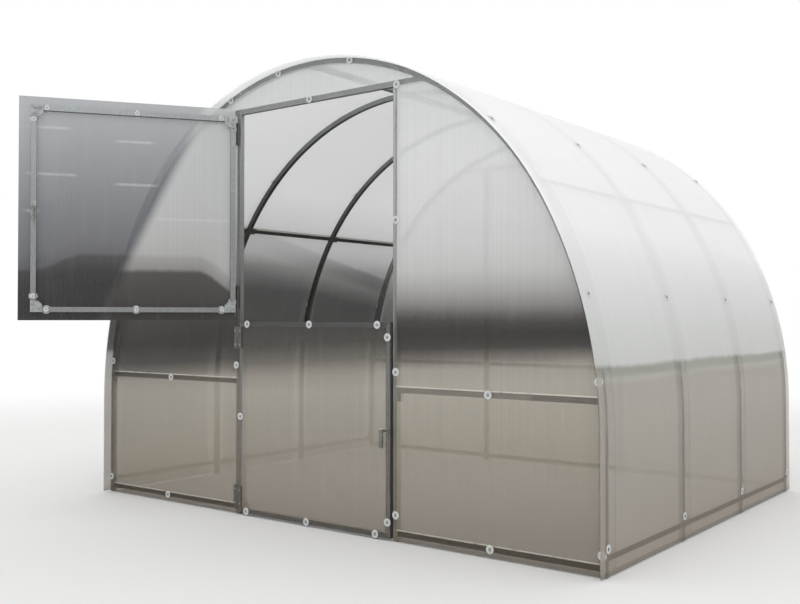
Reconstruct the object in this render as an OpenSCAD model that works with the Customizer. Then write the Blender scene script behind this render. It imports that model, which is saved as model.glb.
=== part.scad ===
// Polytunnel greenhouse: four bent tube arches under one clear twin-wall sheet,
// framed end walls, and a split front door with its upper leaf standing open.
// X runs along the front wall, Y into the depth and Z up. The origin is the
// middle of the foot of the front left arch leg, on the ground.

/* [Tunnel] */
// Width over the arch tubes at the ground
tunnel_w = 2500; // [2300:10:3200]
// Height over the arch tubes at the ridge
tunnel_h = 1806; // [1700:2:2200]
// Height of the straight legs, where the side arcs begin
leg_h = 436; // [300:1:520]
// Angle up the side at which the side arcs give way to the crown arc
arc_change = 28.0725; // [24:0.0005:32]
// Distance from one arch to the next
bay = 632; // [400:1:1000]
// Side of the square tube that every frame member is made of
tube = 20; // [16:1:30]
// Angle of the side purlins from upright, about the centre of the crown arc
purlin_angle = 57; // [35:1:57]

/* [Sheets] */
// Thickness of the twin-wall sheet
sheet_t = 4; // [3:0.5:6]
// How far the cover sheet runs past the arches at each end
cover_overhang = 38; // [20:1:100]
// Gap between the ground and the lower edges of the fixed sheets
sheet_lift = 4; // [2:0.5:15]

/* [End walls] */
// Distance between the centre lines of the door posts
post_spacing = 820; // [700:5:900]
// How far the middle of the doorway lies to the right of the tunnel's middle
door_offset = 18; // [0:1:60]
// Drop from the ridge to the centre line of the lintel
lintel_drop = 148; // [120:1:250]
// Height of the centre line of the mid rails
mid_rail_z = 546; // [450:1:750]
// Height of the underside of the end walls' base rails
end_rail_z = 20; // [10:1:60]
// Height of the underside of the side walls' base rails
side_rail_z = 51; // [10:1:120]
// How much of the hinge post the sheet beside it covers
hinge_post_lap = 19; // [10:1:20]
// How much of the latch post the sheet beside it covers
latch_post_lap = 10; // [6:1:20]

/* [Door leaves] */
// Gap between a leaf's frame and the posts
leaf_gap = 6; // [5:0.5:12]
// Gap between the fixed sheets and the leaves' sheets
leaf_clear = 5; // [5:0.5:8]
// Gap between the ground and the lower leaf
leaf_lift = 8; // [6:1:30]
// Height of the top of the lower leaf
lower_leaf_top = 790; // [700:1:1000]
// Gap between the two leaves' sheets
split_gap = 6; // [5:0.5:15]
// How far the upper leaf's sheet runs below its frame
sheet_drop = 32; // [10:1:60]
// How far the upper leaf's sheet runs above its frame
sheet_rise = 36; // [26:1:60]
// How far the upper leaf's sheet laps over the lintel
lintel_lap = 20; // [2:1:20]
// How far the upper leaf's sheet runs past its frame on the latch side
latch_overhang = 46; // [10:1:80]
// How far the upper leaf stands open
upper_open = 125; // [0:1:160]

/* [Hinges] */
// Thickness of the hinge plates
hinge_t = 2.5; // [2:0.1:3]
// Height of a hinge
hinge_h = 90; // [60:5:120]
// Distance from the end of a leaf's frame to the middle of its hinge
hinge_inset = 65; // [60:1:150]
// Distance from the doorway's edge to the hinge axis, over the hinge post
hinge_set = 6; // [5:0.5:10]
// Reach of a hinge's post plate from the hinge axis
post_plate_w = 24; // [18:1:40]
// Bare edge of the leaf's stile beside a hinge's leaf plate
plate_margin = 2; // [1:0.5:6]
// Radius of a hinge pin
pin_r = 3; // [2:0.1:3.5]
// Radial clearance round hinge pins
pin_clear = 0.08; // [0.05:0.01:0.2]

/* [Latches and leaf corners] */
// Side of the square corner plates on the leaves
corner_plate = 44; // [30:1:60]
// How much of a corner plate's inner corner is cut off
corner_cut = 15; // [5:1:20]
// Thickness of the corner plates
corner_t = 2.5; // [1.5:0.1:4]
// Diameter of the bent latch rod
latch_d = 10; // [8:0.5:12]
// Length of the latch's outer grip, below its shaft
grip_len = 60; // [45:1:90]
// Length of the latch's inner catch, below its shaft
catch_len = 46; // [40:1:60]
// Distance from the leaf's sheet out to the middle of the grip
grip_reach = 37; // [25:1:50]
// Diameter of the collars that keep the latch rod in the leaf
collar_d = 18; // [15:1:20]
// Thickness of those collars
collar_t = 3; // [2:0.5:4]

/* [Brackets] */
// Thickness of the angle brackets and joint plates
bracket_t = 2.5; // [1.5:0.1:4]
// Length of each leg of the angle brackets at the tube joints
bracket_leg = 30; // [20:1:40]
// Width of the angle brackets
bracket_w = 16; // [10:1:16]
// Length of the plates under the purlin joints, along the purlin
joint_plate_l = 70; // [50:1:90]
// Width of the plates under the purlin joints
joint_plate_w = 30; // [20:1:40]

/* [Hidden] */

steel = [0.66, 0.67, 0.68];
dark_steel = [0.36, 0.37, 0.38];
clear_sheet = [0.80, 0.84, 0.84, 0.45];

// Purlins lie this far inside the curved sheet, so that a flat tube clears the curve
purlin_seat = 0.2;
// Space between a hinge's knuckle and the sheet and plate faces in front and behind
knuckle_seat = 0.25;
// Space between the two halves of a hinge's knuckle
knuckle_gap = 1;
// Space between a knuckle and the parts of the plates that run past it
knuckle_notch = 3.5;
// Free play of the latch rod in its hole, on the radius
latch_play = 0.3;
// Overlength of the shapes that cut others
cut = 10;
// The levels where the arcs meet are rounded to this, so that they meet without a slit
level_step = 0.01;
// Facets of the arcs, and of the knuckles and rods
arc_fn = 240;
round_fn = 48;

bays = 3;
tunnel_l = bays * bay + tube;
back_y = tunnel_l - tube;
half_w = tunnel_w / 2;

// The three-centred arch: side arcs that rise from the legs, and a crown arc that
// meets them with the same tangent. The centres lie centre_gap apart on one line.
rise = tunnel_h - leg_h;
centre_gap = (rise - half_w) / (cos(arc_change) + sin(arc_change) - 1);
side_r = half_w + centre_gap * cos(arc_change);
crown_r = rise - centre_gap * sin(arc_change);
crown_z = tunnel_h - crown_r;

// Edges of the doorway and of the posts on either side of it
door_left = door_offset - post_spacing / 2 + tube / 2;
door_right = door_offset + post_spacing / 2 - tube / 2;
post_left = door_left - tube;
post_right = door_right + tube;
hinge_edge = post_left + hinge_post_lap;
latch_edge = post_right - latch_post_lap;
lintel_z = tunnel_h - lintel_drop;
lintel_under = lintel_z - tube / 2;

// Planes of the front wall, from the tubes' front face at 0 outwards
sheet_front = -sheet_t;
leaf_front = sheet_front - leaf_clear;
leaf_sheet_front = leaf_front - sheet_t;
leaf_plate_front = leaf_sheet_front - hinge_t;
post_plate_front = sheet_front - hinge_t;
knuckle_r = (sheet_front - leaf_plate_front) / 2 - knuckle_seat;
hinge_y = (sheet_front + leaf_plate_front) / 2;
hinge_x = door_left - hinge_set;

leaf_left = door_left + leaf_gap;
leaf_right = door_right - leaf_gap;
upper_sheet_bottom = lower_leaf_top + split_gap;
upper_sheet_top = lintel_under + lintel_lap;
upper_leaf_bottom = upper_sheet_bottom + sheet_drop;
upper_leaf_top = upper_sheet_top - sheet_rise;
upper_latch_z = (upper_leaf_bottom + upper_leaf_top) / 2;
lower_latch_z = (leaf_lift + lower_leaf_top) / 2;
latch_x = leaf_right - tube / 2;
latch_bend = latch_d;
catch_y = tube + leaf_gap + latch_d / 2;
grip_y = leaf_sheet_front - grip_reach;

// Puts a shape drawn about the tunnel's middle on the corner foot's origin
module on_site() {
    translate([half_w - tube / 2, -tube / 2, 0]) children();
}

// Everything under the arch, grown by the given distance, seen from the front
module section(grow) {
    change_z = level_step * round((crown_z + (crown_r + grow) * sin(arc_change)) / level_step);
    translate([-half_w - grow, -cut]) square([tunnel_w + 2 * grow, leg_h + cut]);
    for (side = [0, 1]) mirror([side, 0]) intersection() {
        translate([half_w - side_r, leg_h]) circle(r = side_r + grow, $fn = arc_fn);
        translate([-cut, leg_h]) square([tunnel_w, change_z - leg_h]);
    }
    intersection() {
        translate([0, crown_z]) circle(r = crown_r + grow, $fn = arc_fn);
        translate([-tunnel_w, change_z]) square([2 * tunnel_w, tunnel_h]);
    }
}

// Stands a front view up, from one depth to another
module stand(y_from, y_to) {
    translate([0, y_to, 0]) rotate([90, 0, 0]) linear_extrude(height = y_to - y_from) children();
}

// A rectangle of the front view
module band(x_from, x_to, z_from, z_to) {
    translate([x_from, z_from]) square([x_to - x_from, z_to - z_from]);
}

// Frame

module arch(index) {
    y = index * bay;
    on_site() stand(y, y + tube) difference() {
        intersection() {
            section(0);
            band(-tunnel_w, tunnel_w, 0, 2 * tunnel_h);
        }
        section(-tube);
    }
}

module front_arch() { color(steel) arch(0); }
module second_arch() { color(steel) arch(1); }
module third_arch() { color(steel) arch(2); }
module back_arch() { color(steel) arch(3); }

// A tube in each bay, let in between the arches and turned to lie square on the crown arc
module purlin(angle) {
    on_site() translate([0, 0, crown_z]) rotate([0, angle, 0]) for (i = [0 : bays - 1])
        translate([-tube / 2, i * bay + tube, crown_r - tube - purlin_seat])
            cube([tube, bay - tube, tube]);
}

module ridge_purlin() { color(steel) purlin(0); }
module left_purlin() { color(steel) purlin(-purlin_angle); }
module right_purlin() { color(steel) purlin(purlin_angle); }

// Flat plates under the crossings of purlins and arches, which tie them together
module purlin_joint_plates() {
    color(dark_steel) on_site() for (angle = [-purlin_angle, 0, purlin_angle]) for (i = [0 : bays]) {
        y_mid = i * bay + tube / 2;
        y_from = max(0, y_mid - joint_plate_l / 2);
        y_to = min(tunnel_l, y_mid + joint_plate_l / 2);
        translate([0, 0, crown_z]) rotate([0, angle, 0])
            translate([-joint_plate_w / 2, y_from, crown_r - tube - purlin_seat - bracket_t])
                cube([joint_plate_w, y_to - y_from, bracket_t]);
    }
}

module side_rail(x) {
    on_site() for (i = [0 : bays - 1])
        translate([x, i * bay + tube, side_rail_z]) cube([tube, bay - tube, tube]);
}

module left_base_rail() { color(steel) side_rail(-half_w); }
module right_base_rail() { color(steel) side_rail(half_w - tube); }

// End walls: the same tube frame at the front and at the back

module post(x, y) {
    on_site() translate([x, y, 0]) cube([tube, tube, lintel_under]);
}

// A tube across the end wall that ends on the inside of the arch where it reaches it
module end_rail(x_from, x_to, z_mid, y) {
    on_site() stand(y, y + tube) intersection() {
        band(x_from, x_to, z_mid - tube / 2, z_mid + tube / 2);
        section(-tube);
    }
}

module left_rail(z_mid, y) { end_rail(-half_w, post_left, z_mid, y); }
module right_rail(z_mid, y) { end_rail(post_right, half_w, z_mid, y); }

base_rail_mid = end_rail_z + tube / 2;

module hinge_post() { color(steel) post(post_left, 0); }
module latch_post() { color(steel) post(door_right, 0); }
module front_lintel() { color(steel) end_rail(-half_w, half_w, lintel_z, 0); }
module front_left_mid_rail() { color(steel) left_rail(mid_rail_z, 0); }
module front_right_mid_rail() { color(steel) right_rail(mid_rail_z, 0); }
module front_left_base_rail() { color(steel) left_rail(base_rail_mid, 0); }
module front_right_base_rail() { color(steel) right_rail(base_rail_mid, 0); }

module back_left_post() { color(steel) post(post_left, back_y); }
module back_right_post() { color(steel) post(door_right, back_y); }
module back_lintel() { color(steel) end_rail(-half_w, half_w, lintel_z, back_y); }

// Three tubes at one height, on either side of the back posts and between them
module back_rails(z_mid) {
    left_rail(z_mid, back_y);
    end_rail(door_left, door_right, z_mid, back_y);
    right_rail(z_mid, back_y);
}

module back_mid_rails() { color(steel) back_rails(mid_rail_z); }
module back_base_rails() { color(steel) back_rails(base_rail_mid); }

// An angle bracket where a rail's face at height z meets the outer side of a door
// post. side is -1 at the left post, and up is 1 above the rail and -1 below it.
module post_bracket(side, z, up) {
    translate([side < 0 ? post_left : post_right, 0, z])
        mirror([side < 0 ? 1 : 0, 0, 0]) mirror([0, 0, up < 0 ? 1 : 0]) {
            translate([0, bracket_inset, 0]) cube([bracket_leg, bracket_w, bracket_t]);
            translate([0, bracket_inset, 0]) cube([bracket_t, bracket_w, bracket_leg]);
        }
}

// The like bracket at the rail's outer end, with one leg bent to the arch
module arch_bracket(side, z, up) {
    z_from = up < 0 ? z - bracket_leg : z;
    plate_z = up < 0 ? z - bracket_t : z;
    mirror([side < 0 ? 1 : 0, 0, 0]) stand(bracket_inset, bracket_inset + bracket_w) {
        intersection() {
            band(0, tunnel_w, z_from, z_from + bracket_leg);
            difference() {
                section(-tube);
                section(-tube - bracket_t);
            }
        }
        intersection() {
            band(half_w - tube - bracket_leg, half_w, plate_z, plate_z + bracket_t);
            section(-tube);
        }
    }
}

bracket_inset = (tube - bracket_w) / 2;

// The brackets that hold one end wall's rails on its posts and its arch
module wall_brackets() {
    for (side = [-1, 1]) {
        post_bracket(side, lintel_under, -1);
        for (place = [[mid_rail_z - tube / 2, -1], [end_rail_z + tube, 1]]) {
            post_bracket(side, place[0], place[1]);
            arch_bracket(side, place[0], place[1]);
        }
    }
}

module front_brackets() { color(dark_steel) on_site() wall_brackets(); }
module back_brackets() { color(dark_steel) on_site() translate([0, back_y, 0]) wall_brackets(); }

// Sheets

module cover_sheet() {
    color(clear_sheet) on_site() stand(-cover_overhang, tunnel_l + cover_overhang) difference() {
        intersection() {
            section(sheet_t);
            band(-tunnel_w, tunnel_w, sheet_lift, 2 * tunnel_h);
        }
        section(0);
    }
}

// An end wall's sheet between two uprights and above a height, cut to the arch
module end_sheet(x_from, x_to, z_from, y) {
    color(clear_sheet) on_site() stand(y, y + sheet_t) intersection() {
        section(0);
        band(x_from, x_to, z_from, 2 * tunnel_h);
    }
}

back_joint_left = door_left - tube / 2;
back_joint_right = door_right + tube / 2;

module front_left_sheet() { end_sheet(-half_w, hinge_edge, sheet_lift, sheet_front); }
module front_right_sheet() { end_sheet(latch_edge, half_w, sheet_lift, sheet_front); }
module front_top_sheet() { end_sheet(hinge_edge, latch_edge, lintel_under, sheet_front); }
module back_left_sheet() { end_sheet(-half_w, back_joint_left, sheet_lift, tunnel_l); }
module back_middle_sheet() { end_sheet(back_joint_left, back_joint_right, sheet_lift, tunnel_l); }
module back_right_sheet() { end_sheet(back_joint_right, half_w, sheet_lift, tunnel_l); }

// Door leaves, drawn closed. The upper one is then turned open about its hinges.

module opened() {
    on_site() translate([hinge_x, hinge_y, 0]) rotate([0, 0, -upper_open])
        translate([-hinge_x, -hinge_y, 0]) children();
}

// A welded rectangle of tube with the latch's hole through its latch stile
module leaf_frame(z_from, z_to, latch_z) {
    difference() {
        stand(leaf_front, leaf_front + tube) difference() {
            band(leaf_left, leaf_right, z_from, z_to);
            band(leaf_left + tube, leaf_right - tube, z_from + tube, z_to - tube);
        }
        latch_hole(latch_z);
    }
}

module latch_hole(z) {
    translate([latch_x, leaf_sheet_front - cut, z]) rotate([-90, 0, 0])
        cylinder(r = latch_d / 2 + latch_play, h = tube + sheet_t + 2 * cut, $fn = round_fn);
}

module leaf_sheet(x_to, z_from, z_to, latch_z) {
    difference() {
        stand(leaf_sheet_front, leaf_front) band(leaf_left, x_to, z_from, z_to);
        latch_hole(latch_z);
    }
}

// Square plates with one corner cut off, on the inside of the leaf's four corners
module corner_plates(z_from, z_to) {
    long = corner_plate;
    short = corner_plate - corner_cut;
    plate_y = leaf_front + tube;
    for (right = [0, 1]) for (top = [0, 1])
        translate([right ? leaf_right : leaf_left, 0, top ? z_to : z_from])
            mirror([right, 0, 0]) mirror([0, 0, top]) stand(plate_y, plate_y + corner_t)
                polygon([[0, 0], [long, 0], [long, short], [short, long], [0, long]]);
}

// A bent rod: the shaft through the leaf, the grip outside and the catch inside,
// both hanging down, with a collar on each side of the leaf
module latch(z) {
    inside = leaf_front + tube + latch_play;
    outside = leaf_sheet_front - latch_play - collar_t;
    shaft_from = grip_y + latch_bend;
    shaft_to = catch_y - latch_bend;
    translate([latch_x, 0, z]) {
        translate([0, shaft_from, 0]) rotate([-90, 0, 0])
            cylinder(d = latch_d, h = shaft_to - shaft_from, $fn = round_fn);
        for (y = [outside, inside]) translate([0, y, 0]) rotate([-90, 0, 0])
            cylinder(d = collar_d, h = collar_t, $fn = round_fn);
        translate([0, shaft_from, -latch_bend]) rotate([90, 0, 90]) rotate([0, 0, 90]) elbow();
        translate([0, shaft_to, -latch_bend]) rotate([90, 0, 90]) elbow();
        translate([0, grip_y, -grip_len]) cylinder(d = latch_d, h = grip_len - latch_bend, $fn = round_fn);
        translate([0, catch_y, -catch_len]) cylinder(d = latch_d, h = catch_len - latch_bend, $fn = round_fn);
    }
}

// A quarter turn of the latch rod, from its X axis to its Y axis
module elbow() {
    rotate_extrude(angle = 90, $fn = round_fn)
        translate([latch_bend, 0]) circle(d = latch_d, $fn = round_fn);
}

// One half of a hinge about its axis: half of the knuckle, and a plate that runs
// to the right for the given reach. Beside the other half it stays clear of the knuckle.
module hinge_half(own_z, half_h, plate_y, reach) {
    notch = knuckle_r + knuckle_notch;
    translate([0, 0, own_z]) cylinder(r = knuckle_r, h = half_h, $fn = round_fn);
    translate([0, plate_y, own_z]) cube([reach, hinge_t, half_h]);
    translate([notch, plate_y, -hinge_h / 2]) cube([reach - notch, hinge_t, hinge_h]);
}

half_knuckle = (hinge_h - knuckle_gap) / 2;

// The leaf's half turns on the upper part of the pin
module leaf_half() {
    difference() {
        hinge_half(hinge_h / 2 - half_knuckle, half_knuckle, leaf_plate_front - hinge_y,
            leaf_left + tube - plate_margin - hinge_x);
        translate([0, 0, -hinge_h]) cylinder(r = pin_r + pin_clear, h = 2 * hinge_h, $fn = round_fn);
    }
}

// The post's half carries the pin, and its plate runs left over the hinge post
module post_half() {
    mirror([1, 0, 0]) hinge_half(-hinge_h / 2, half_knuckle, post_plate_front - hinge_y, post_plate_w);
    translate([0, 0, -hinge_h / 2]) cylinder(r = pin_r, h = hinge_h, $fn = round_fn);
}

// Both hinges of a leaf whose frame lies between two heights
module at_hinges(z_from, z_to) {
    for (z = [z_from + hinge_inset, z_to - hinge_inset]) translate([hinge_x, hinge_y, z]) children();
}

module post_hinge_plates() {
    color(dark_steel) on_site() {
        at_hinges(leaf_lift, lower_leaf_top) post_half();
        at_hinges(upper_leaf_bottom, upper_leaf_top) post_half();
    }
}

module upper_leaf_frame() {
    color(steel) opened() leaf_frame(upper_leaf_bottom, upper_leaf_top, upper_latch_z);
}
module upper_leaf_sheet() {
    color(clear_sheet) opened()
        leaf_sheet(leaf_right + latch_overhang, upper_sheet_bottom, upper_sheet_top, upper_latch_z);
}
module upper_leaf_corner_plates() {
    color(dark_steel) opened() corner_plates(upper_leaf_bottom, upper_leaf_top);
}
module upper_leaf_hinges() {
    color(dark_steel) opened() at_hinges(upper_leaf_bottom, upper_leaf_top) leaf_half();
}
module upper_leaf_latch() { color(dark_steel) opened() latch(upper_latch_z); }

module lower_leaf_frame() {
    color(steel) on_site() leaf_frame(leaf_lift, lower_leaf_top, lower_latch_z);
}
module lower_leaf_sheet() {
    color(clear_sheet) on_site() leaf_sheet(leaf_right, leaf_lift, lower_leaf_top, lower_latch_z);
}
module lower_leaf_corner_plates() { color(dark_steel) on_site() corner_plates(leaf_lift, lower_leaf_top); }
module lower_leaf_hinges() {
    color(dark_steel) on_site() at_hinges(leaf_lift, lower_leaf_top) leaf_half();
}
module lower_leaf_latch() { color(dark_steel) on_site() latch(lower_latch_z); }

front_arch();
second_arch();
third_arch();
back_arch();
ridge_purlin();
left_purlin();
right_purlin();
left_base_rail();
right_base_rail();
hinge_post();
latch_post();
front_lintel();
front_left_mid_rail();
front_right_mid_rail();
front_left_base_rail();
front_right_base_rail();
back_left_post();
back_right_post();
back_lintel();
back_mid_rails();
back_base_rails();
purlin_joint_plates();
front_brackets();
back_brackets();
cover_sheet();
front_left_sheet();
front_right_sheet();
front_top_sheet();
back_left_sheet();
back_middle_sheet();
back_right_sheet();
post_hinge_plates();
upper_leaf_frame();
upper_leaf_sheet();
upper_leaf_corner_plates();
upper_leaf_hinges();
upper_leaf_latch();
lower_leaf_frame();
lower_leaf_sheet();
lower_leaf_corner_plates();
lower_leaf_hinges();
lower_leaf_latch();
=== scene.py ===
import math

import bpy
import numpy as np
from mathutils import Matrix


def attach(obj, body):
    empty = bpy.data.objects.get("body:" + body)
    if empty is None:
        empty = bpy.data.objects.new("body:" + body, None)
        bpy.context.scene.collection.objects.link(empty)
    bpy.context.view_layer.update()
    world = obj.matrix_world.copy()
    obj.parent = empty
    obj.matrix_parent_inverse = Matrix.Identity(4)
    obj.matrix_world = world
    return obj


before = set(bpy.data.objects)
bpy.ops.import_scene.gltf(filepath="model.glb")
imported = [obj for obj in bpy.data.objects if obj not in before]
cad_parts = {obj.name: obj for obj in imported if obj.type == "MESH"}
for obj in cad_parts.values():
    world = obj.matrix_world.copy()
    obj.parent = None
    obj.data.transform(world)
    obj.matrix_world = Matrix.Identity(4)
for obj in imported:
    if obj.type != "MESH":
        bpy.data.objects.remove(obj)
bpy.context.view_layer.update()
scene = bpy.context.scene


# Camera
# It stands at the front right corner at chest height and looks across the
# doorway, with the lens and place that were fitted to the tunnel's edges.

EYE = (3.8017, -2.7615, 0.8030)
YAW, PITCH, ROLL = -37.51, 0.989, -0.023
FOCAL_PX, PICTURE_W, SENSOR = 962.2, 800, 36.0

camera = bpy.data.objects.new("camera", bpy.data.cameras.new("camera"))
scene.collection.objects.link(camera)
camera.data.sensor_width = SENSOR
camera.data.lens = FOCAL_PX / PICTURE_W * SENSOR
camera.location = EYE
camera.rotation_euler = (math.radians(90 + PITCH), math.radians(ROLL), -math.radians(YAW))
scene.camera = camera
scene.view_settings.view_transform = "Standard"


# Floor and light
# A plain pale floor that fades out before its edge, an even white sky, and one
# large soft lamp above the front, so that a colour renders about as written.

class Wire:
    """A number, colour or vector on its way through a material: one output socket.
    Arithmetic on numbers adds Math nodes."""

    def __init__(self, tree, socket=None):
        self.tree, self.socket = tree, socket

    def node(self, kind, settings=None, values=None, out=0):
        """A new node of this kind. Its settings are set first, a ramp's stops among
        them, and then its sockets' values or links. Returns its output."""
        made = self.tree.nodes.new("ShaderNode" + kind)
        for name, value in (settings or {}).items():
            if name == "stops":
                ramp = made.color_ramp
                while len(ramp.elements) < len(value):
                    ramp.elements.new(1.0)
                for element, (place, colour) in zip(ramp.elements, value):
                    element.position = place
                for element, (place, colour) in zip(ramp.elements, value):
                    element.color = colour
            else:
                setattr(made, name, value)
        for key, value in (values or {}).items():
            if isinstance(value, Wire):
                self.tree.links.new(value.socket, made.inputs[key])
            else:
                made.inputs[key].default_value = value
        return Wire(self.tree, made.outputs[out] if made.outputs else None)

    def maths(self, operation, *values):
        return self.node("Math", {"operation": operation}, dict(enumerate(values)))

    def __add__(self, other):
        return self.maths("ADD", self, other)

    def __radd__(self, other):
        return self.maths("ADD", other, self)

    def __sub__(self, other):
        return self.maths("SUBTRACT", self, other)

    def __rsub__(self, other):
        return self.maths("SUBTRACT", other, self)

    def __mul__(self, other):
        return self.maths("MULTIPLY", self, other)

    def __rmul__(self, other):
        return self.maths("MULTIPLY", other, self)

    def __truediv__(self, other):
        return self.maths("DIVIDE", self, other)

    def __rtruediv__(self, other):
        return self.maths("DIVIDE", other, self)

    def between(self, low, high):
        """0 at low, 1 at high, and smooth in between."""
        return self.node("MapRange", {"interpolation_type": "SMOOTHSTEP"},
                         {"Value": self, "From Min": low, "From Max": high})

    def strip(self, low, high, soft=0.001):
        """1 from low to high and 0 elsewhere."""
        return self.between(low - soft, low + soft) * (1 - self.between(high - soft, high + soft))

    def parts(self):
        """The x, y and z of a vector."""
        split = self.node("SeparateXYZ", {}, {0: self}).socket.node
        return [Wire(self.tree, part) for part in split.outputs]

    def along(self, way):
        """How far a vector reaches in the given direction."""
        return self.node("VectorMath", {"operation": "DOT_PRODUCT"}, {0: self, 1: way},
                         out="Value")

    def scaled(self, factors):
        """A vector times three factors."""
        return self.node("VectorMath", {"operation": "MULTIPLY"}, {0: self, 1: factors})

    def noise(self, scale, detail=3.0, rough=0.55):
        """Noise from 0 to 1 at the place this vector gives."""
        return self.node("TexNoise", {}, {"Vector": self, "Scale": scale, "Detail": detail,
                                          "Roughness": rough})

    def blended(self, other, share):
        """This colour with a share of another."""
        return self.node("Mix", {"data_type": "RGBA"}, {0: share, 6: self, 7: other}, out=2)


def ink(red, green, blue):
    """A colour as it shows on a screen, 0 to 255, as the light that it reflects."""
    shown = np.array([red, green, blue]) / 255
    return (*np.where(shown > 0.04045, ((shown + 0.055) / 1.055) ** 2.4, shown / 12.92), 1.0)


def new_material(name):
    """An empty material, and the wire that its nodes start from."""
    material = bpy.data.materials.new(name)
    material.use_nodes = True
    material.node_tree.nodes.clear()
    return material, Wire(material.node_tree)


def surface_of(start, shader):
    """Ends a material with this shader."""
    start.node("OutputMaterial", {}, {"Surface": shader})


FLOOR_R, FLOOR_SIDES, FLOOR_Z = 9.0, 96, -0.001
FADE_FROM, FADE_TO = 3.2, 7.5
FLOOR_MIDDLE = (1.24, 0.95)
# The disc's rim is its middle + its radius * (cos a, sin a), for a once round
turn = np.linspace(0, 2 * np.pi, FLOOR_SIDES, endpoint=False)
disc = np.stack([FLOOR_MIDDLE[0] + FLOOR_R * np.cos(turn),
                 FLOOR_MIDDLE[1] + FLOOR_R * np.sin(turn),
                 np.full_like(turn, FLOOR_Z)], axis=1)
floor_mesh = bpy.data.meshes.new("floor")
floor_mesh.from_pydata(disc.tolist(), [], [list(range(len(disc)))])
floor = bpy.data.objects.new("floor", floor_mesh)
scene.collection.objects.link(floor)
floor_finish, f = new_material("pale_floor")
place = f.node("TexCoord", out="Object")
from_middle = place.node("VectorMath", {"operation": "DISTANCE"},
                         {0: place, 1: (*FLOOR_MIDDLE, 0)}, out="Value")
paint = f.node("BsdfPrincipled", {}, {"Base Color": ink(236, 236, 235), "Roughness": 0.9,
                                      "Specular IOR Level": 0.1,
                                      "Alpha": 1 - from_middle.between(FADE_FROM, FADE_TO)})
surface_of(f, paint)
floor_mesh.materials.append(floor_finish)

world = bpy.data.worlds.new("studio")
scene.world = world
world.use_nodes = True
world.node_tree.nodes.clear()
w = Wire(world.node_tree)
path_camera = w.node("LightPath", out="Is Camera Ray")
path_gloss = w.node("LightPath", out="Is Glossy Ray")
path_through = w.node("LightPath", out="Is Transmission Ray")
seen = path_camera.maths("MAXIMUM", path_camera,
                         path_gloss.maths("MAXIMUM", path_gloss, path_through))
sky = w.node("Background", {}, {"Color": (1, 1, 1, 1), "Strength": 1.0})
white = w.node("Background", {}, {"Color": (1, 1, 1, 1), "Strength": 1.0})
shown = w.node("MixShader", {}, {0: seen, 1: sky, 2: white})
w.node("OutputWorld", {}, {"Surface": shown})

lamp = bpy.data.objects.new("softbox", bpy.data.lights.new("softbox", "AREA"))
scene.collection.objects.link(lamp)
lamp.data.size, lamp.data.energy = 4.0, 60.0
lamp.location = (4.2, -4.0, 5.0)
lamp.rotation_euler = (math.radians(48), 0, math.radians(38))


# Tunnel frame
# Square galvanised steel tube of 20 mm: the bent arches, and the posts, rails and
# purlins screwed between them. The zinc is grey, dulled and browner near the ground.

MIDDLE_X = 1.24
LEG_H, SIDE_R, CROWN_R, CROWN_Z, HALF_W = 0.436, 1.55, 1.21, 0.596, 1.25
TUBE = 0.02
TUBE_TOP = 1.8


def rib(values):
    """The most of several masks."""
    most = values[0]
    for value in values[1:]:
        most = most.maths("MAXIMUM", most, value)
    return most


def tube_material(name, tones, dull, shaded=()):
    """Galvanised tube: tones by their heights from the ground up, clouded by a dull one, a
    spangle of zinc crystals, rust near the ground, and fine drawn lines in the bump.
    Undersides and the faces that look the shaded ways get painted shade, and faces
    that look up get a pale painted highlight."""
    material, m = new_material(name)
    place = m.node("TexCoord", out="Object")
    height = place.parts()[2]
    tone = m.node("ValToRGB", {"stops": [(z / TUBE_TOP, ink(*shade)) for z, shade in tones]},
                  {0: height / TUBE_TOP})
    spangle = place.node("TexVoronoi", {"feature": "F1"},
                         {"Vector": place, "Scale": 140.0}, out="Color")
    grain = spangle.node("SeparateColor", {}, {0: spangle}, out=0)
    cloud = place.noise(7.0, 4.0)
    tone = tone.blended(ink(*dull), 0.25 + 0.5 * (cloud - 0.3))
    tone = tone.blended((0.0, 0.0, 0.0, 1.0), 0.16 * grain)
    facing = m.node("TexCoord", out="Normal")
    # Painted shade: undersides and the faces that look the shaded ways are darkened.
    painted_shade_faces = rib([facing.along(way).between(0.5, 0.6) for way in [(0, 0, -1), *shaded]])
    tone = tone.blended(ink(58, 58, 58), 0.7 * painted_shade_faces)
    # Painted highlight: the faces that look up are made paler.
    tone = tone.blended(ink(214, 213, 206), 0.65 * facing.along((0, 0, 1)).between(0.7, 0.8))
    rust = place.noise(38.0, 5.0, 0.7).between(0.66, 0.78) * (1 - height.between(0.05, 0.7))
    tone = tone.blended(ink(118, 92, 70), 0.45 * rust)
    scratch = place.noise(420.0, 2.0)
    bump = m.node("Bump", {}, {"Strength": 0.12, "Distance": 0.0004,
                               "Height": scratch + 0.5 * grain})
    paint = m.node("BsdfPrincipled", {}, {
        "Base Color": tone, "Metallic": 0.55, "Roughness": 0.42 + 0.18 * cloud + 0.1 * rust,
        "Normal": bump})
    surface_of(m, paint)
    return material


def dress(nodes, material):
    """Gives CAD nodes a finish."""
    for name in nodes:
        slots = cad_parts[name].data.materials
        slots.clear()
        slots.append(material)


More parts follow.
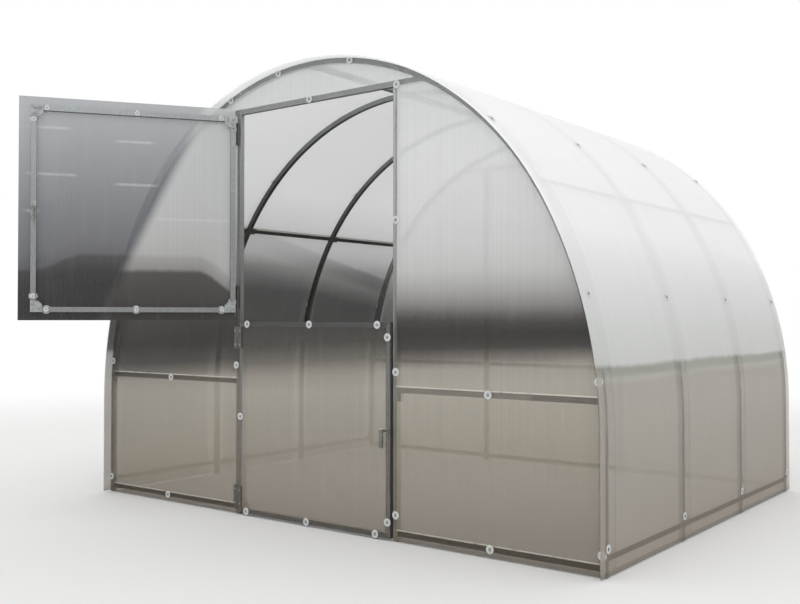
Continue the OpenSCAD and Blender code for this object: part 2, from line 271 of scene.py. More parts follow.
wall_tube = tube_material(
    "galvanised_wall_tube",
    [(0.0, (134, 128, 118)), (0.40, (142, 138, 129)), (0.80, (150, 150, 145)),
     (1.10, (172, 176, 173)), (1.40, (190, 195, 194)), (1.80, (198, 204, 203))], (124, 122, 116))
dress(["front_arch", "hinge_post", "latch_post", "front_lintel", "front_right_mid_rail",
       "back_left_post", "back_right_post", "back_lintel", "back_mid_rails", "back_arch"],
      wall_tube)
# Painted shade and light: the tubes inside the tunnel are dark up to about 1.25 m and paler
# towards the crown.
inner_tube_painted_shade = tube_material(
    "galvanised_inner_tube",
    [(0.0, (104, 100, 90)), (0.60, (96, 94, 88)), (1.25, (92, 93, 89)), (1.50, (120, 123, 120)),
     (1.66, (158, 163, 161)), (1.80, (180, 185, 184))], (86, 85, 82))
dress(["second_arch", "third_arch", "ridge_purlin", "left_purlin", "right_purlin"], inner_tube_painted_shade)
# The base rails' tube is darker than the rest.
dark_base_tube = tube_material(
    "galvanised_damp_tube", [(0.0, (104, 97, 86)), (1.0, (96, 92, 84))], (70, 66, 58))
dress(["left_base_rail", "right_base_rail", "front_left_mid_rail", "front_left_base_rail",
       "front_right_base_rail", "back_base_rails"], dark_base_tube)


# Door leaf frames
# The two welded tube rectangles of the split door, of the same tube but a brighter
# zinc than the tunnel's, as they hang clear of the wet ground.

OPEN = math.radians(-125)
OPEN_ALONG = (math.cos(OPEN), math.sin(OPEN), 0.0)
# Its faces that look against OPEN_ALONG get painted shade.
leaf_tube = tube_material(
    "galvanised_leaf_tube",
    [(0.0, (118, 113, 104)), (0.75, (134, 134, 130)), (1.20, (150, 154, 154)),
     (1.80, (178, 183, 184))], (138, 142, 144),
    shaded=[(-OPEN_ALONG[0], -OPEN_ALONG[1], 0.0)])
dress(["upper_leaf_frame", "lower_leaf_frame"], leaf_tube)


# Brackets, plates and hinges
# Cut and folded zinc plate, 2.5 mm thick: corner plates of the leaves, angle
# brackets and joint plates of the tunnel, and the two halves of each hinge.

def plate_material(name, colour):
    """Zinc plate: near even grey with small stains and a rolled grain."""
    material, m = new_material(name)
    place = m.node("TexCoord", out="Object")
    stain = place.noise(60.0, 4.0, 0.6)
    rolled = place.scaled((1.0, 1.0, 0.05)).noise(500.0, 2.0)
    tone = m.node("ValToRGB", {"stops": [
        (0.3, ink(*[0.72 * c for c in colour])), (0.62, ink(*colour))]}, {0: stain})
    bump = m.node("Bump", {}, {"Strength": 0.1, "Distance": 0.0003, "Height": rolled})
    paint = m.node("BsdfPrincipled", {}, {"Base Color": tone, "Metallic": 0.6,
                                          "Roughness": 0.35 + 0.25 * stain, "Normal": bump})
    surface_of(m, paint)
    return material


bright_plate = plate_material("zinc_plate", (172, 176, 178))
dress(["upper_leaf_corner_plates", "lower_leaf_corner_plates"], bright_plate)
dark_plate = plate_material("weathered_plate", (104, 102, 97))
dress(["front_brackets", "back_brackets", "purlin_joint_plates", "post_hinge_plates",
       "upper_leaf_hinges", "lower_leaf_hinges"], dark_plate)


# Latches
# One bent rod of dull 10 mm steel through the latch stile of each leaf, with a
# collar on both sides. Handling has rubbed it brighter in patches.

latch_finish, m = new_material("dark_latch_rod")
place = m.node("TexCoord", out="Object")
wear = place.noise(90.0, 4.0, 0.65)
tone = m.node("ValToRGB", {"stops": [
    (0.35, ink(104, 102, 98)), (0.6, ink(146, 145, 142)), (0.75, ink(182, 182, 180))]}, {0: wear})
bump = m.node("Bump", {}, {"Strength": 0.15, "Distance": 0.0003, "Height": wear})
surface_of(m, m.node("BsdfPrincipled", {}, {"Base Color": tone, "Metallic": 0.3,
                                            "Roughness": 0.55 - 0.25 * wear, "Normal": bump}))
dress(["upper_leaf_latch", "lower_leaf_latch"], latch_finish)


# Twin-wall sheets
# Clear 4 mm twin-wall sheet with a flute every 6 mm: one long sheet bent over the
# arches, and flat pieces cut to fit the end walls and the leaves, flutes upright.
# Age has made it milky at the top, and soil darkens its bottom edge. Its tones over
# the height are painted reflection of what shows through it: tan low down, darker
# bands at about eye height, and near white above.

FLUTE = 0.006
TOP = 1.9
DAYLIGHT = 0.62
DAMP_EDGE_TO, DAMP_EDGE_FROM = 0.016, 0.024
# The slanted line between the upper leaf's painted dark and pale parts, and its hinge
LEAF_EDGE, LEAF_SLOPE, LEAF_HINGE = -0.31, 0.48, -0.47

# Painted glints on the upper leaf's sheet: from and to, away from the hinge, and height
PAINTED_GLINTS = [(0.66, 0.80, 1.550), (0.335, 0.48, 1.510), (0.635, 0.81, 1.367),
               (0.325, 0.48, 1.338), (0.775, 0.82, 1.222), (0.02, 0.33, 1.204)]


def by_height(start, height, stops):
    """A number or colour that follows the height, from stops of height and value."""
    rows = [(z / TOP, (v, v, v, 1) if np.isscalar(v) else ink(*v)) for z, v in stops]
    return start.node("ValToRGB", {"stops": rows}, {0: height})


LEFT_POST, RIGHT_POST = 0.838, 1.658
RAILS_Z = (0.020, 0.536, 1.648)


def on_end_wall(place):
    """1 where an end wall's tubes lie behind its sheets: the posts, the rails, and the
    arch, whose line runs at one distance from the side arcs' and the crown's middle.
    Fainter on the back wall, and beside the left arch leg and the latch post."""
    x, y, z = place.parts()
    wide = x.maths("ABSOLUTE", x - MIDDLE_X)
    above = z.maths("MAXIMUM", z - LEG_H, 0.0)
    out = wide + (SIDE_R - HALF_W)
    side = x.maths("SQRT", out * out + above * above)
    crown = x.maths("SQRT", wide * wide + (z - CROWN_Z) * (z - CROWN_Z))
    high = z.between(1.160, 1.170)
    posts = rib([x.strip(left, left + TUBE) for left in (LEFT_POST, RIGHT_POST)])
    posts = posts * (1 - z.between(1.647, 1.649))
    rails = rib([z.strip(low, low + TUBE) for low in RAILS_Z])
    between_posts = x.strip(LEFT_POST + TUBE, RIGHT_POST) * (1 - z.between(1.6, 1.61))
    beside = rib([side.strip(1.505, 1.532, 0.004) * (1 - x.between(0.5, 0.6)),
                  x.strip(1.676, 1.710) * z.strip(0.504, 0.537)]) * (1 - z.between(0.8, 1.0))
    arch = rib([side.strip(SIDE_R - TUBE, SIDE_R) * (1 - high),
                crown.strip(CROWN_R - TUBE, CROWN_R) * high])
    near = 1 - 0.85 * y.between(0.5, 1.0)
    return near * rib([posts, 0.8 * beside, rails * (1 - between_posts), arch])


BAY, PURLIN_TURN = 0.632, math.radians(57)


def on_arches(place):
    """1 where the cover lies on the arches, which stand a bay apart, on the base rails and
    on the purlins, whose line is turned about the crown's middle."""
    x, y, z = place.parts()
    wide = x.maths("ABSOLUTE", x - MIDDLE_X)
    to_arch = y.maths("PINGPONG", y, BAY / 2)
    off_purlin = x.maths("ABSOLUTE", wide * math.cos(PURLIN_TURN)
                         - (z - CROWN_Z) * math.sin(PURLIN_TURN))
    return rib([1 - to_arch.between(0.009, 0.011), 0.8 * (1 - to_arch.between(0.045, 0.065)),
                z.strip(0.051, 0.071),
                (1 - off_purlin.between(0.009, 0.011)) * z.between(0.7, 0.75),
                (1 - wide.between(0.009, 0.011)) * z.between(1.5, 1.6)])


def on_lower_frame(place):
    """1 where the lower leaf's sheet lies on its frame."""
    x, _, z = place.parts()
    return rib([x.strip(0.864, 0.884), x.strip(1.632, 1.652), z.strip(0.008, 0.028),
                z.strip(0.770, 0.790)])


def sheet_material(name, tones, inner_tones, solid, inner_solid, milk, along, tilt=0.0,
                   hinge_tones=None, daylight=None, touch=None, clearing=None, slant=0.0,
                   ledges=()):
    """Twin-wall sheet. Over the height go the tones and how solid each face looks, for
    the outer and the inner skin, and the share of light that the inner skin scatters
    through. The tones are painted reflection of what shows through the sheet. along is
    the direction square to the flutes, and tilt how much higher the lower tones reach
    for each metre to the right. daylight is how much of the light from outside glows in
    the inner skin, painted light by emission. touch masks the tubes behind the sheet,
    and clearing is how much clearer it is there. slant raises the inner tones towards
    the back, and ledges are the heights at which a painted highlight runs along the top
    of a rail."""
    material, m = new_material(name)
    place = m.node("TexCoord", out="Object")
    sideways, depth, height = place.parts()
    across = place.along(along)
    flute = across / FLUTE
    own = m.node("TexWhiteNoise", {"noise_dimensions": "1D"},
                 {"W": flute.maths("FLOOR", flute)}, out="Value")
    wave = flute.maths("SINE", flute * (2 * math.pi))
    spread = m.node("CombineXYZ", {}, {0: across * 9.0, 1: height * 0.9})
    run = spread.noise(3.0, 5.0, 0.6)
    haze = place.noise(1.6, 3.0)
    lean = tilt * (sideways - MIDDLE_X) * (1 - height.between(0.68, 0.80))
    lifted = (height - lean) / TOP + 0.007 * (run - 0.5) + 0.014 * (haze - 0.5)
    facing = m.node("NewGeometry", out="Normal")
    back = m.node("NewGeometry", out="Backfacing")
    outward = place.node("VectorMath", {"operation": "SUBTRACT"},
                         {0: place, 1: (MIDDLE_X, 0.948, 0.60)})
    side = facing.along(outward) * (1 - 2 * back)
    inside = side.maths("LESS_THAN", side, -0.02)
    # Painted reflection: the upper leaf is dark towards its free end and pale by its hinges, on
    # either side of a slanted line.
    if hinge_tones:
        edge = across - LEAF_EDGE + LEAF_SLOPE * (height - 1.6)
        near = 1 - edge.between(-0.03, 0.03)
        reach = across - LEAF_HINGE
        sunk = lifted + 0.045 * (1 - reach.between(0.0, 0.16)) + 0.035 * reach.between(0.6, 0.8)
        tone = by_height(m, sunk, tones).blended(by_height(m, sunk, hinge_tones), near)
        # Painted glints: short pale lines across the upper leaf's sheet.
        marks = rib([reach.strip(near_s, far_s, 0.02) * height.strip(z - 0.005, z + 0.005, 0.003)
                     for near_s, far_s, z in PAINTED_GLINTS])
        tone = tone.blended(ink(226, 229, 230), 0.30 * marks * run.between(0.2, 0.5))
    else:
        lifted_in = lifted
        if slant:
            lifted_in = lifted + slant * (depth - 1.22) * height.between(0.75, 0.95) / TOP
        tone = by_height(m, lifted, tones).blended(by_height(m, lifted_in, inner_tones), inside)
    tone = tone.blended((0, 0, 0, 1), (0.04 + 0.07 * own) * (0.5 + 0.5 * wave))
    tone = tone.blended((1, 1, 1, 1), 0.03 * run.between(0.5, 0.85))
    tone = tone.blended(ink(96, 90, 80), 0.55 * (1 - height.between(DAMP_EDGE_TO, DAMP_EDGE_FROM)))
    # Painted highlight along the top edge of each rail behind the sheet.
    if ledges:
        ledge_highlight = rib([height.strip(z, z + 0.0045, 0.001) for z in ledges])
        tone = tone.blended(ink(236, 234, 226), 0.75 * ledge_highlight * run.between(0.3, 0.5))
    cover = by_height(m, lifted, solid).blended(by_height(m, lifted, inner_solid), inside)
    alpha = cover * (0.92 + 0.08 * wave) + 0.02 * (run - 0.5)
    if touch:
        alpha = alpha * (1 - touch(place) * by_height(m, lifted, clearing))
    bump = m.node("Bump", {}, {"Strength": 0.25, "Distance": 0.0006, "Height": wave})
    skin = {"Base Color": tone, "Roughness": 0.24 + 0.2 * run, "IOR": 1.58,
            "Specular IOR Level": 0.25, "Alpha": alpha, "Normal": bump}
    # Painted light: the inner skin glows by emission, standing in for daylight through the sheet.
    if daylight:
        skin["Emission Color"] = inside * by_height(m, lifted, daylight)
        skin["Emission Strength"] = DAYLIGHT
    paint = m.node("BsdfPrincipled", {}, skin)
    glow = m.node("BsdfTranslucent", {}, {"Color": (0.93, 0.94, 0.94, 1)})
    surface_of(m, m.node("MixShader", {}, {0: inside * by_height(m, lifted, milk),
                                           1: paint, 2: glow}))
    return material


# Painted reflection of what shows through the sheets, over the height: tan low down, dark bands at
# about eye height on the inner faces, a greener band on the cover's outer face, and near white at
# the top.
INNER_TONES = [(0.04, (140, 129, 115)), (0.50, (156, 148, 136)), (0.60, (130, 124, 115)),
               (0.68, (74, 71, 68)), (0.93, (76, 74, 74)), (1.03, (128, 126, 124)),
               (1.12, (156, 156, 156)), (1.16, (196, 196, 196)), (1.25, (222, 223, 223)),
               (1.40, (246, 247, 247)), (1.60, (252, 252, 252))]
COVER_INNER = [(0.04, (140, 129, 115)), (0.50, (156, 148, 136)), (0.60, (130, 124, 115)),
               (0.68, (74, 71, 68)), (0.90, (74, 72, 71)), (0.96, (84, 82, 81)),
               (1.02, (130, 128, 126)), (1.07, (158, 157, 155)), (1.11, (112, 110, 109)),
               (1.155, (104, 103, 102)), (1.172, (216, 216, 216)), (1.28, (232, 233, 233)),
               (1.40, (246, 247, 247)), (1.60, (252, 252, 252))]
COVER_TONES = [(0.04, (178, 168, 154)), (0.30, (182, 175, 163)), (0.590, (192, 185, 175)),
               (0.612, (204, 202, 192)), (0.625, (178, 182, 170)), (0.648, (180, 184, 172)),
               (0.656, (206, 208, 205)), (0.78, (218, 220, 218)), (0.90, (230, 231, 231)),
               (1.10, (252, 252, 252)), (1.50, (254, 254, 254))]
cover_sheet = sheet_material(
    "cover_twin_wall", COVER_TONES, COVER_INNER,
    [(0.05, 0.6), (0.644, 0.6), (0.658, 0.92), (1.3, 0.86)],
    [(0.05, 0.80), (1.1, 0.90), (1.4, 0.90)],
    [(0.05, 0.15), (0.60, 0.10), (0.68, 0.02), (0.95, 0.02), (1.2, 0.7)], (0, 1, 0),
    daylight=[(1.08, 0.0), (1.25, 0.6), (1.45, 1.0)], touch=on_arches,
    clearing=[(0.64, 0.28), (0.66, 0.10), (0.70, 0.06), (1.6, 0.05)], slant=0.179)
dress(["cover_sheet"], cover_sheet)

# Painted reflection on the end walls' outer faces too: tan low down, a dark band at about eye
# height, and near white above.
FRONT_TONES = [(0.04, (151, 140, 123)), (0.30, (176, 168, 152)), (0.53, (193, 186, 171)),
               (0.585, (184, 177, 163)), (0.62, (118, 111, 103)), (0.66, (66, 62, 58)),
               (0.745, (54, 51, 48)), (0.79, (72, 69, 66)), (0.815, (104, 101, 98)),
               (0.85, (152, 150, 148)), (0.90, (190, 189, 188)), (0.97, (220, 220, 219)),
               (1.07, (229, 229, 229)), (1.35, (232, 233, 233)),
               (1.66, (218, 220, 220))]
WALL_TILT = 0.06
end_sheet = sheet_material(
    "end_wall_twin_wall", FRONT_TONES, INNER_TONES,
    [(0.04, 0.50), (0.60, 0.54), (0.70, 0.74), (0.80, 0.74), (1.00, 0.68), (1.20, 0.62),
     (1.64, 0.56), (1.72, 0.40)],
    [(0.04, 0.56), (0.60, 0.60), (0.70, 0.78), (0.80, 0.78), (1.00, 0.68), (1.20, 0.62),
     (1.64, 0.56), (1.72, 0.40)],
    [(0.05, 0.10), (0.60, 0.05), (0.68, 0.0), (0.95, 0.0), (1.2, 0.4)], (1, 0, 0), WALL_TILT,
    touch=on_end_wall, clearing=[(0.60, 0.66), (1.7, 0.7)],
    ledges=(0.0405, 0.5565))
dress(["front_left_sheet", "front_right_sheet", "front_top_sheet", "back_left_sheet",
       "back_middle_sheet", "back_right_sheet"], end_sheet)
# Painted reflection on the lower leaf as well: tan low down and dark towards its top.
LEAF_TONES = [(0.04, (146, 134, 120)), (0.30, (168, 160, 147)), (0.52, (182, 176, 164)),
              (0.58, (168, 162, 150)), (0.64, (114, 109, 101)), (0.70, (82, 78, 73)),
              (0.79, (70, 67, 64))]
lower_sheet = sheet_material(
    "lower_leaf_twin_wall", LEAF_TONES, LEAF_TONES,
    [(0.04, 0.54), (0.60, 0.56), (0.72, 0.8)], [(0.04, 0.58), (0.60, 0.62), (0.72, 0.85)],
    [(0.05, 0.10), (0.60, 0.05), (0.68, 0.0)], (1, 0, 0), WALL_TILT,
    touch=on_lower_frame, clearing=[(0.60, 0.8), (1.7, 0.7)])
dress(["lower_leaf_sheet"], lower_sheet)

# Painted reflection on the upper leaf: dark at its free end, pale by its hinges, and
# darker below about 1 m
FREE_TONES = [(0.80, (38, 36, 35)), (0.93, (42, 40, 40)), (1.00, (50, 49, 51)),
              (1.046, (60, 59, 62)), (1.060, (90, 91, 96)), (1.12, (102, 103, 109)),
              (1.30, (112, 115, 121)), (1.45, (130, 133, 138)), (1.66, (158, 162, 166))]
HINGE_TONES = [(0.80, (60, 58, 56)), (0.90, (70, 68, 66)), (0.985, (80, 78, 76)),
               (1.000, (146, 145, 143)), (1.045, (168, 167, 166)), (1.06, (184, 184, 183)),
               (1.12, (192, 192, 191)), (1.30, (201, 202, 202)), (1.66, (206, 208, 208))]
UPPER_SOLID = [(0.80, 0.98), (0.98, 0.97), (1.06, 0.86), (1.30, 0.72), (1.66, 0.62)]
upper_sheet = sheet_material(
    "upper_leaf_twin_wall", FREE_TONES, FREE_TONES, UPPER_SOLID, UPPER_SOLID,
    [(0.80, 0.0), (1.66, 0.05)], OPEN_ALONG, 0.0, HINGE_TONES)
dress(["upper_leaf_sheet"], upper_sheet)


# Sheet washers
# Milky moulded plastic discs of 30 mm that spread the load of each sheet screw. The
# screw's hexagon head sits in the dished middle. They stand along posts, rails and arches.

def turned(profile, places, normals, steps=20):
    """Turned shapes, one at each place: a point is place + radius * (cos a * side +
    sin a * up) + height * normal, where the profile's rows give radius and height, and
    the angle a goes once round. Flat faces close both ends."""
    profile = np.asarray(profile, float)
    places = np.asarray(places, float).reshape(-1, 3)
    normals = np.broadcast_to(np.asarray(normals, float), places.shape)
    helper = np.where(np.abs(normals[:, 2:]) < 0.9, [[0.0, 0.0, 1.0]], [[1.0, 0.0, 0.0]])
    side = np.cross(helper, normals)
    side /= np.linalg.norm(side, axis=1, keepdims=True)
    up = np.cross(normals, side)
    angle = 2 * np.pi * np.arange(steps) / steps
    spoke = (np.cos(angle)[:, None] * side[:, None] + np.sin(angle)[:, None] * up[:, None])
    points = (places[:, None, None] + profile[None, :, :1, None] * spoke[:, None]
              + profile[None, :, 1:, None] * normals[:, None, None])
    rows, ring = len(profile), np.arange(steps)
    after = np.roll(ring, -1)
    low = steps * np.arange(rows - 1)[:, None]
    walls = np.stack([low + ring, low + after, low + after + steps, low + ring + steps],
                     axis=-1).reshape(-1, 4)
    starts = steps * rows * np.arange(len(places))
    faces = [(walls[None] + starts[:, None, None]).reshape(-1, 4),
             ring[None, ::-1] + starts[:, None],
             ring[None] + starts[:, None] + steps * (rows - 1)]
    return points.reshape(-1, 3), faces


def add_piece(name, shapes, material, body, smooth=True):
    """One object from shapes, each with its points and its arrays of faces, with its
    finish, body and slot."""
    faces, start = [], 0
    for points, groups in shapes:
        for group in groups:
            faces += (group + start).tolist()
        start += len(points)
    mesh = bpy.data.meshes.new(name)
    mesh.from_pydata(np.concatenate([points for points, _ in shapes]).tolist(), [], faces)
    mesh.polygons.foreach_set("use_smooth", np.full(len(faces), smooth))
    if smooth:
        mesh.set_sharp_from_angle(angle=math.radians(40))
    mesh.materials.append(material)
    piece = bpy.data.objects.new(name, mesh)
    scene.collection.objects.link(piece)
    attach(piece, body)


WASHER = np.array([(15, 0), (15, 0.9), (14, 1.9), (12, 2.4), (9, 2.3), (7.6, 1.6),
                   (7.2, 0.9)]) / 1000
HEAD = np.array([(6.2, 0.9), (6.2, 1.5), (4.6, 1.6), (4.6, 3.6), (3.9, 4.0)]) / 1000

washer_finish, m = new_material("milky_washer_plastic")
place = m.node("TexCoord", out="Object")
cloud = place.noise(110.0, 3.0)
tone = m.node("ValToRGB", {"stops": [
    (0.35, ink(196, 199, 198)), (0.6, ink(218, 221, 220))]}, {0: cloud})
grit = place.noise(420.0, 4.0, 0.7)
tone = tone.blended(ink(132, 126, 116), 0.35 * grit.between(0.56, 0.72))
bump = m.node("Bump", {}, {"Strength": 0.1, "Distance": 0.0003, "Height": grit})
paint = m.node("BsdfPrincipled", {}, {"Base Color": tone, "Roughness": 0.38 + 0.2 * cloud,
                                      "Normal": bump})
glow = m.node("BsdfTranslucent", {}, {"Color": (0.9, 0.92, 0.92, 1)})
surface_of(m, m.node("MixShader", {}, {0: 0.12, 1: paint, 2: glow}))

screw_finish, m = new_material("zinc_screw")
place = m.node("TexCoord", out="Object")
spot = place.noise(260.0, 4.0, 0.65)
tone = m.node("ValToRGB", {"stops": [
    (0.35, ink(118, 116, 113)), (0.55, ink(158, 157, 154)), (0.7, ink(186, 186, 184))]},
    {0: spot})
bump = m.node("Bump", {}, {"Strength": 0.15, "Distance": 0.0002, "Height": spot})
surface_of(m, m.node("BsdfPrincipled", {}, {"Base Color": tone, "Metallic": 0.35,
                                            "Roughness": 0.3 + 0.25 * spot, "Normal": bump}))


def site(points):
    """Points given from the tunnel's middle, in mm, as metres from the corner foot."""
    return np.asarray(points, float) / 1000 + [MIDDLE_X, -0.010, 0.0]


ARC_CHANGE = math.radians(28.0725)


def arch_point(z, inset, side):
    """The arch's outline at height z in mm, moved inwards: x and the outward slope there,
    on the leg, on the side arc or on the crown arc. On an arc, x is the middle plus the
    radius times cos a, where sin a is the rise over the middle per radius."""
    leg, side_r, crown_r, crown_z, half = (1000 * size for size in
                                           (LEG_H, SIDE_R, CROWN_R, CROWN_Z, HALF_W))
    change = crown_z + crown_r * math.sin(ARC_CHANGE)
    if z < leg:
        return side * (half - inset), (side, 0.0)
    middle_x, middle_z, r = (half - side_r, leg, side_r) if z < change else (0, crown_z, crown_r)
    rise = (z - middle_z) / (r - inset)
    run = math.sqrt(1 - rise * rise)
    return side * (middle_x + (r - inset) * run), (side * run, rise)


def arch_rows(heights, inset, sides=(-1, 1)):
    """x, z and the outward normal at each height, on both sides of the arch."""
    found = [(arch_point(z, inset, s), z) for s in sides for z in heights]
    return [(x, z, n) for (x, n), z in found]


FRONT_Y, BACK_Y = -4.0, 1920.0
ARCH_INSET = 10
end_wall = [(-400, 611), (433, 95), (433, 610), (433, 1160), (436, 1652), (6, 1658),
            (-834, 30), (-816, 546), (832, 30), (825, 546)]
end_wall += [(x, z) for x, z, n in arch_rows([70, 606], ARCH_INSET)]
end_wall += [(x, z) for x, z, n in arch_rows([1095, 1475], ARCH_INSET, (-1,))]
crown = np.radians([68.6, 82.2, 100.2])
crown_line = 1000 * CROWN_R - ARCH_INSET
end_wall += list(zip(-crown_line * np.cos(crown), 1000 * CROWN_Z + crown_line * np.sin(crown)))
end_wall = np.array(end_wall)
front_places = site(np.insert(end_wall, 1, FRONT_Y, axis=1))
back_places = site(np.insert(end_wall, 1, BACK_Y, axis=1))
add_piece("front_wall_washers", [turned(WASHER, front_places, (0, -1, 0))],
          washer_finish, "tunnel")
add_piece("front_wall_screws", [turned(HEAD, front_places, (0, -1, 0), 6)],
          screw_finish, "tunnel", False)
add_piece("back_wall_washers", [turned(WASHER, back_places, (0, 1, 0))],
          washer_finish, "tunnel")
add_piece("back_wall_screws", [turned(HEAD, back_places, (0, 1, 0), 6)],
          screw_finish, "tunnel", False)

COVER_Z = [90, 882, 1480]
cover_rows = arch_rows(COVER_Z, -4)
arch_y = np.array([10, 642, 1274, 1906])
cover_places = site([(x, y, z) for x, z, n in cover_rows for y in arch_y])
cover_normals = np.array([(n[0], 0, n[1]) for x, z, n in cover_rows for y in arch_y])
add_piece("cover_washers", [turned(WASHER, cover_places, cover_normals)],
          washer_finish, "tunnel")
add_piece("cover_screws", [turned(HEAD, cover_places, cover_normals, 6)],
          bright_plate, "tunnel", False)
SEAL = np.array([(16.5, 0), (16.5, 0.8), (9.5, 0.8), (9.5, 0)]) / 1000
seal_places = site([(x, y, z) for x, z, n in arch_rows(COVER_Z, 0) for y in arch_y])
add_piece("cover_seals", [turned(SEAL, seal_places, -cover_normals)],
          washer_finish, "tunnel")


# Leaf washers
# The same washers hold each leaf's sheet on its frame, on the outside. The screws'
# points come through the tube's inner face.

LEAF_FACE, LEAF_BACK = -13.0, 11.0
TIP = np.array([(2.4, 0), (2.4, 3.0), (0.9, 5.0)]) / 1000
HINGE = np.array([-388.0, -9.75])


def opened(points):
    """Points of the closed upper leaf, turned about the hinge's axis to where it stands
    open: x and y turn by the angle OPEN about HINGE."""
    points = np.asarray(points, float)
    spin = np.array([[math.cos(OPEN), math.sin(OPEN)], [-math.sin(OPEN), math.cos(OPEN)]])
    return np.concatenate([(points[:, :2] - HINGE) @ spin + HINGE, points[:, 2:]], axis=1)


OUT = (math.sin(OPEN), -math.cos(OPEN), 0.0)
INTO = (-OUT[0], -OUT[1], 0.0)
lower_marks = np.array([(-328, 780), (16, 780), (354, 780), (402, 735), (402, 67), (-331, 18),
                        (2, 18), (345, 18), (-366, 402)])
upper_marks = np.array([(-322, 838), (16, 838), (354, 838), (402, 890), (402, 1576),
                        (355, 1622), (16, 1622), (-316, 1622), (-366, 872), (-366, 1585)])
lower_front = site(np.insert(lower_marks, 1, LEAF_FACE, axis=1))
lower_back = site(np.insert(lower_marks, 1, LEAF_BACK, axis=1))
upper_front = site(opened(np.insert(upper_marks, 1, LEAF_FACE, axis=1)))
upper_back = site(opened(np.insert(upper_marks, 1, LEAF_BACK, axis=1)))
for leaf, outside, inside, out, into in [
        ("lower_leaf", lower_front, lower_back, (0, -1, 0), (0, 1, 0)),
        ("upper_leaf", upper_front, upper_back, OUT, INTO)]:
    add_piece(leaf + "_washers", [turned(WASHER, outside, out)], washer_finish, leaf)
    add_piece(leaf + "_screws", [turned(HEAD, outside, out, 6), turned(TIP, inside, into, 8)],
              screw_finish, leaf, False)


# Upper leaf seals
# The same soft milky plastic rings behind the upper leaf's washers, which seal each
# screw's hole on the inside of the sheet and show beside the tube from within.

seal_places = site(opened(np.insert(upper_marks, 1, LEAF_FACE + 4.0, axis=1)))
INNER_WASHER = WASHER * 0.65
add_piece("upper_leaf_seals", [turned(SEAL, seal_places, INTO),
                               turned(INNER_WASHER, upper_back[:8], INTO)],
          washer_finish, "upper_leaf")


# Latch grips
# A dull grey grip 16 mm wide and 70 mm long over the hanging end of each latch rod.
# Its top carries a pale painted highlight, and it turns with the rod.

GRIP = np.array([(3.0, 0), (7.0, 0.6), (8.0, 2.2), (8.0, 67.0), (6.8, 69.4),
                 (3.0, 70.0)]) / 1000
grip_finish, m = new_material("dull_grip")
place = m.node("TexCoord", out="Object")
facing = m.node("NewGeometry", out="Normal")
rub = place.noise(75.0, 4.0, 0.6)
tone = m.node("ValToRGB", {"stops": [
    (0.35, ink(96, 95, 87)), (0.65, ink(128, 127, 118))]}, {0: rub})
# Painted highlight on the faces that look up.
tone = tone.blended(ink(226, 225, 212), 0.9 * facing.along((0, 0, 1)).between(0.3, 0.6))
bump = m.node("Bump", {}, {"Strength": 0.12, "Distance": 0.0003,
                           "Height": place.noise(600.0, 2.0)})
surface_of(m, m.node("BsdfPrincipled", {}, {"Base Color": tone, "Metallic": 0.3,
                                            "Roughness": 0.6 - 0.2 * rub, "Normal": bump}))
for latch, spot in (("lower_latch", site([[402, -50, 408]])),
                    ("upper_latch", site(opened([[402, -50, 1239]])))):
    add_piece(latch + "_grip", [turned(GRIP, spot, (0, 0, -1))], grip_finish, latch)


# Latch plates
# Two zinc-plated straps of 20 by 18 mm to a leaf, on the inside of its latch stile
# above and below the rod's collar, each held by one screw.

LATCH_X, LOWER_LATCH_Z, UPPER_LATCH_Z = 402.0, 399, 1230
STRAP_STEP, STRAP_Y, HEAD_Y = 19, 12.25, 12.5
STRAP_HALF = np.array([10.0, 1.25, 9.0])
CORNER = np.indices((2, 2, 2)).reshape(3, 8).T * 2 - 1
BOX_FACES = np.array([(0, 1, 3, 2), (4, 6, 7, 5), (0, 4, 5, 1), (2, 3, 7, 6),
                      (0, 2, 6, 4), (1, 5, 7, 3)])


def beside_rod(latch_z, y):
    """The two places below and above a latch rod, at depth y of the closed leaf."""
    return np.array([(LATCH_X, y, latch_z - STRAP_STEP), (LATCH_X, y, latch_z + STRAP_STEP)])


def strap_corners(latch_z):
    """Corners of both straps, centre + sign * half size with the eight signs of CORNER."""
    return (beside_rod(latch_z, STRAP_Y)[:, None] + CORNER * STRAP_HALF).reshape(-1, 3)


strap_faces = (BOX_FACES[None] + np.array([0, 8])[:, None, None]).reshape(-1, 4)
for leaf, corners, heads, way in (
        ("lower_leaf", site(strap_corners(LOWER_LATCH_Z)),
         site(beside_rod(LOWER_LATCH_Z, HEAD_Y)), (0, 1, 0)),
        ("upper_leaf", site(opened(strap_corners(UPPER_LATCH_Z))),
         site(opened(beside_rod(UPPER_LATCH_Z, HEAD_Y))), INTO)):
    add_piece(leaf + "_latch_plates", [(corners, [strap_faces])], bright_plate, leaf,
              False)
    add_piece(leaf + "_latch_screws", [turned(HEAD, heads, way, 6)], screw_finish, leaf,
              False)


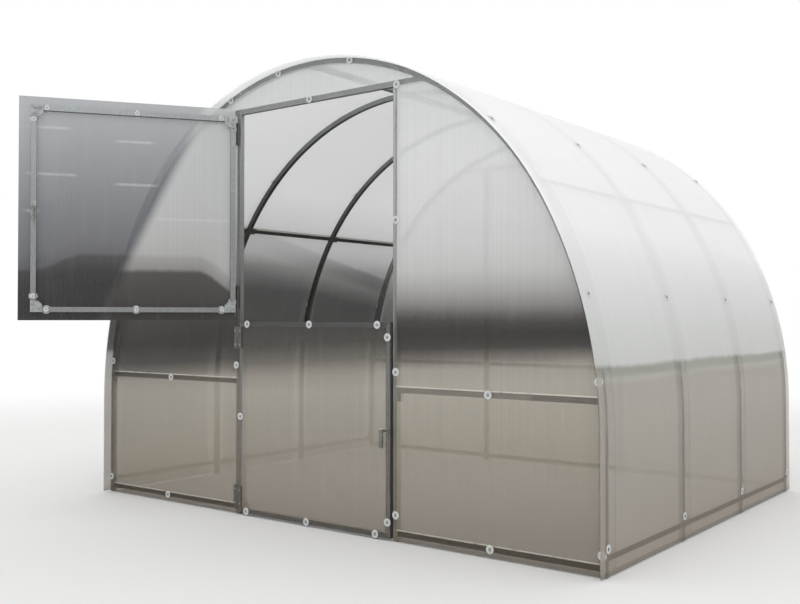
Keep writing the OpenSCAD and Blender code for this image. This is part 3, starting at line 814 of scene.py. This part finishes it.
# Bolts
# Zinc hexagon bolts of 6 mm on flat washers: three to a corner plate of the leaves, and
# two smaller ones to each hinge plate.

BOLT = np.array([(5.4, 0), (5.4, 0.9), (4.9, 1.0), (4.9, 3.6), (4.1, 4.3)]) / 1000


def corner_marks(z_from, z_to):
    """Bolt places on a leaf's corner plates, from the closed leaf's left, right, bottom
    and top edges: one in the corner, and one along each edge."""
    left, right, near, far = -376.0, 412.0, 11.0, 33.0
    plate_back = 13.5
    rows = [(x, plate_back, z) for x0, sx in ((left, 1), (right, -1))
            for z0, sz in ((z_from, 1), (z_to, -1))
            for x, z in ((x0 + sx * near, z0 + sz * near), (x0 + sx * far, z0 + sz * near),
                         (x0 + sx * near, z0 + sz * far))]
    return np.array(rows)


def hinge_marks(z_from, z_to, x, y):
    """Two bolts on a hinge plate, above and below its middle, at both hinges."""
    return np.array([(x, y, z + step) for z in (z_from + 65, z_to - 65) for step in (-28, 28)])


LOWER_ENDS, UPPER_ENDS = (8, 790), (828, 1632)
ON_STRAP, ON_POST = (-366, -15.5), (-405, -6.5)
lower_bolts = site(corner_marks(*LOWER_ENDS))
upper_bolts = site(opened(corner_marks(*UPPER_ENDS)))
lower_straps = site(hinge_marks(*LOWER_ENDS, *ON_STRAP))
upper_straps = site(opened(hinge_marks(*UPPER_ENDS, *ON_STRAP)))
post_bolts = site(np.concatenate([hinge_marks(*LOWER_ENDS, *ON_POST),
                                  hinge_marks(*UPPER_ENDS, *ON_POST)]))
SMALL = BOLT * 0.72
add_piece("lower_leaf_bolts", [turned(BOLT, lower_bolts, (0, 1, 0), 6),
                               turned(SMALL, lower_straps, (0, -1, 0), 6)],
          screw_finish, "lower_leaf", False)
add_piece("upper_leaf_bolts", [turned(BOLT, upper_bolts, INTO, 6),
                               turned(SMALL, upper_straps, OUT, 6)],
          screw_finish, "upper_leaf", False)
LOW = np.array([(4.2, 0), (4.2, 0.5), (3.2, 1.2)]) / 1000
add_piece("hinge_post_bolts", [turned(LOW, post_bolts, (0, -1, 0), 12)],
          screw_finish, "tunnel", False)
